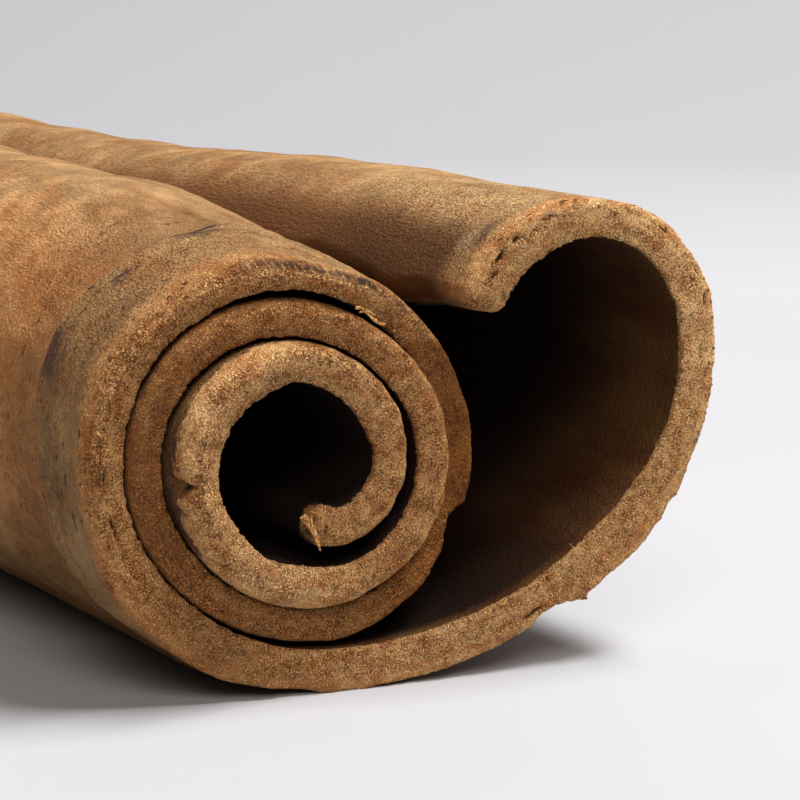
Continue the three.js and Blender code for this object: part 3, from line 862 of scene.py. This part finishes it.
def ball_arrays():
    """Places and triangles of a ball of 80 triangles with radius 1."""
    maker = bmesh.new()
    bmesh.ops.create_icosphere(maker, subdivisions=2, radius=1)
    mesh = bpy.data.meshes.new("ball")
    maker.to_mesh(mesh)
    maker.free()
    places = np.empty(3 * len(mesh.vertices))
    mesh.vertices.foreach_get("co", places)
    corners = np.empty(3 * len(mesh.polygons), int)
    mesh.polygons.foreach_get("vertices", corners)
    bpy.data.meshes.remove(mesh)
    return places.reshape(-1, 3), corners.reshape(-1, 3)


def crumb_mesh(middles, sizes):
    """Copies of the ball, each stretched at random, scaled to its size and dented by noise."""
    ball, faces = ball_arrays()
    stretch = rng.uniform(0.6, 1.2, (len(middles), 1, 3))
    body = ball * stretch * sizes[:, None, None]
    dents = 1 + clouds(body + middles[:, None], DENTS)
    first = np.arange(len(middles))[:, None, None] * len(ball)
    return (middles[:, None] + body * dents[..., None]).reshape(-1, 3), (faces + first).reshape(-1, 3)


def fibre_mesh(fibres):
    """Flat tapering rods: rings round a bent line from start to end, closed by a point at each end.
    The bend is a half sine to the side, and the width falls by a power of the way along."""
    start, end, width, bend = (np.array(column, float) for column in zip(*fibres))
    way = np.linspace(0, 1, RINGS)[None, :, None]
    ahead = end - start
    aside = np.cross(ahead, [0, 1, 0])
    aside /= np.linalg.norm(aside, axis=1)[:, None]
    out = np.cross(ahead, aside)
    out /= np.linalg.norm(out, axis=1)[:, None]
    middle = start[:, None] + ahead[:, None] * way
    middle = middle + aside[:, None] * bend[:, None, None] * np.sin(np.pi * way)
    girth = width[:, None, None] * (1 - 0.75 * way ** 1.5)
    turn = np.radians(np.arange(SIDES) * 360 / SIDES)
    ring = aside[:, None, None] * np.cos(turn)[:, None] + 0.45 * out[:, None, None] * np.sin(turn)[:, None]
    places = middle[:, :, None] + ring * girth[:, :, None]
    places = places + 0.02 * cloud(places, 0.12, 71)[..., None] * ring
    count, each = len(start), RINGS * SIDES
    body = np.concatenate([places.reshape(count, each, 3), start[:, None], end[:, None]], 1)
    corner = np.arange((RINGS - 1) * SIDES)
    after = corner + 1 - SIDES * ((corner + 1) % SIDES == 0)
    side = np.arange(SIDES)
    turned = (side + 1) % SIDES
    last = each - SIDES
    faces = np.vstack([
        np.column_stack([corner, after, after + SIDES]),
        np.column_stack([corner, after + SIDES, corner + SIDES]),
        np.column_stack([side * 0 + each, turned, side]),
        np.column_stack([side * 0 + each + 1, last + side, last + turned]),
    ])
    first = np.arange(count)[:, None, None] * (each + 2)
    return body.reshape(-1, 3), (faces + first).reshape(-1, 3)


def torn_material(name, dark, pale):
    """Torn bark, with the same broken grain as the sawn end, its painted shade between the crumbs and
    painted light on their tips.
    """
    material = bpy.data.materials.new(name)
    material.use_nodes = True
    tree = material.node_tree
    shader = tree.nodes["Principled BSDF"]
    place = scaled(tree, add_node(tree, "ShaderNodeTexCoord").outputs["Object"], (1000, 1000, 1000))
    crumbly = {"Place": place, "Pit shade": CUT_PIT_SHADE, "Dark": dark, "Pale": pale}
    grain = add_node(tree, "ShaderNodeGroup", crumbly, node_tree=broken_bark)
    tree.links.new(grain.outputs["Colour"], shader.inputs["Base Color"])
    bump = add_node(tree, "ShaderNodeBump", {"Distance": 0.00005, "Height": grain.outputs["Height"]})
    tree.links.new(bump.outputs[0], shader.inputs["Normal"])
    shader.inputs["Roughness"].default_value = 0.85
    shader.inputs["Specular IOR Level"].default_value = 0.12
    return material


at, share, sizes = np.array(CRUMBS).T
at = np.concatenate([at, rng.uniform(-35, 1050, LOOSE // 2), rng.uniform(-35, 0, LOOSE // 2)])
rim_side = np.where(rng.random(LOOSE) < 0.55, 1, -1)
share = np.concatenate([share, rim_side * (1 - 0.5 * rng.random(LOOSE) ** 2)])
sizes = np.concatenate([sizes, rng.uniform(0.03, 0.075, LOOSE)])
nearest = np.round(distance_at(at) / line[-1, 5] * STEPS).astype(int)
middles, _, _ = bark_surface(nearest, share, share * 0, share * 0)
crumb_places, crumb_faces = crumb_mesh(middles, sizes)
fibre_places, fibre_faces = fibre_mesh(FIBRES)
crumbs = new_piece("crumbs", crumb_places, crumb_faces, torn_material("crumbs", CRUMB_DARK, CRUMB_PALE))
fibres = new_piece("splinters", fibre_places, fibre_faces, torn_material("splinters", CUT_DARK, CUT_PALE))
for small in (crumbs, fibres):
    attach(small, "root")

# ---- The table -----------------------------------------------------------------------------
# A pale matt board that curves up into a wall far behind the stick, its colour painted darker away from the
# stick as painted shade where less light falls. It is not part of the object.
YAW = 26.802                # the view's turn from the stick's length towards the curl's side
FLOOR_REACH = 0.9
WALL_START = 0.30
WALL_BEND = 0.22
WALL_HEIGHT = 0.9


def table_mesh():
    """A strip swept sideways: flat, then a quarter circle up, then straight up, across the view."""
    bend = np.radians(np.linspace(0, 90, 25))
    along = np.concatenate([[-FLOOR_REACH], WALL_START + WALL_BEND * np.sin(bend), [WALL_START + WALL_BEND]])
    up = np.concatenate([[0], WALL_BEND * (1 - np.cos(bend)), [WALL_HEIGHT]])
    ahead = np.array([np.sin(np.radians(YAW)), np.cos(np.radians(YAW))])
    aside = np.array([ahead[1], -ahead[0]])
    rows = []
    for side in (-FLOOR_REACH, FLOOR_REACH):
        rows.append(np.column_stack([along[:, None] * ahead + side * aside, up]))
    count = len(along)
    first = np.arange(count - 1)
    return np.vstack(rows), np.column_stack([first, first + count, first + count + 1, first + 1])


def table_material():
    """Matt pale board with the faintest unevenness of tone, painted darker further from the stick as painted
    shade.
    """
    material = bpy.data.materials.new("pale board")
    material.use_nodes = True
    tree = material.node_tree
    shader = tree.nodes["Principled BSDF"]
    place = add_node(tree, "ShaderNodeTexCoord").outputs["Object"]
    tone = curve(tree, noise(tree, place, (0.05, 0.05, 0.05), 2.0), 0.3, 0.7)
    near = mixed(tree, tone, (0.460, 0.460, 0.476, 1), (0.474, 0.474, 0.490, 1))
    away = add_node(tree, "ShaderNodeVectorMath", {0: place}, operation="LENGTH").outputs["Value"]
    # painted shade: the board darkens with distance from the stick
    colour = mixed(tree, curve(tree, away, 0.10, 0.50), near, (0.385, 0.385, 0.400, 1))
    tree.links.new(colour, shader.inputs["Base Color"])
    shader.inputs["Roughness"].default_value = 0.7
    shader.inputs["Specular IOR Level"].default_value = 0.2
    return material


board_places, board_faces = table_mesh()
board_mesh = bpy.data.meshes.new("board")
board_mesh.from_pydata(board_places.tolist(), [], board_faces.tolist())
board_mesh.shade_smooth()
board_mesh.materials.append(table_material())
board = bpy.data.objects.new("board", board_mesh)
bpy.context.scene.collection.objects.link(board)

# ---- Light and camera ----------------------------------------------------------------------
# One long soft lamp high on the right, a weaker warm one from the near left, a small one on the
# wall and dim warm grey all round. The camera is a long lens close to the shown end, looking along
# the stick from its left.
PITCH_DOWN = 7.876
CAMERA_PLACE = Vector((-49.97, -136.67, 25.91)) * MM
LENS = 135


def soft_lamp(name, place, aim, size, power, colour=(1, 1, 1)):
    """A rectangular area lamp turned to face a point."""
    data = bpy.data.lights.new(name, "AREA")
    data.shape = "RECTANGLE"
    data.size, data.size_y = size
    data.energy = power
    data.color = colour
    lamp = bpy.data.objects.new(name, data)
    lamp.location = place
    lamp.rotation_euler = (Vector(aim) - Vector(place)).to_track_quat("-Z", "Y").to_euler()
    bpy.context.scene.collection.objects.link(lamp)


soft_lamp("key", (0.27, -0.15, 0.80), (0.0, -0.04, 0.0), (0.56, 0.20), 12.2)
soft_lamp("fill", (-0.30, -0.70, 0.56), (0.0, -0.04, 0.0), (0.40, 0.40), 3.7, (1.0, 0.93, 0.87))
soft_lamp("wall", (0.0, 0.16, 0.55), (0.24, 0.48, 0.2), (0.5, 0.3), 0.15)

world = bpy.data.worlds.new("studio")
world.use_nodes = True
world.node_tree.nodes["Background"].inputs["Color"].default_value = (0.80, 0.71, 0.66, 1)
world.node_tree.nodes["Background"].inputs["Strength"].default_value = 0.07
bpy.context.scene.world = world
bpy.context.scene.view_settings.view_transform = "Standard"

camera_data = bpy.data.cameras.new("camera")
camera_data.lens = LENS
camera_data.sensor_width = 36
camera_data.clip_start = 0.005
camera = bpy.data.objects.new("camera", camera_data)
camera.location = CAMERA_PLACE
camera.rotation_euler = Euler((np.radians(90 - PITCH_DOWN), 0, np.radians(-YAW)))
bpy.context.scene.collection.objects.link(camera)
bpy.context.scene.camera = camera
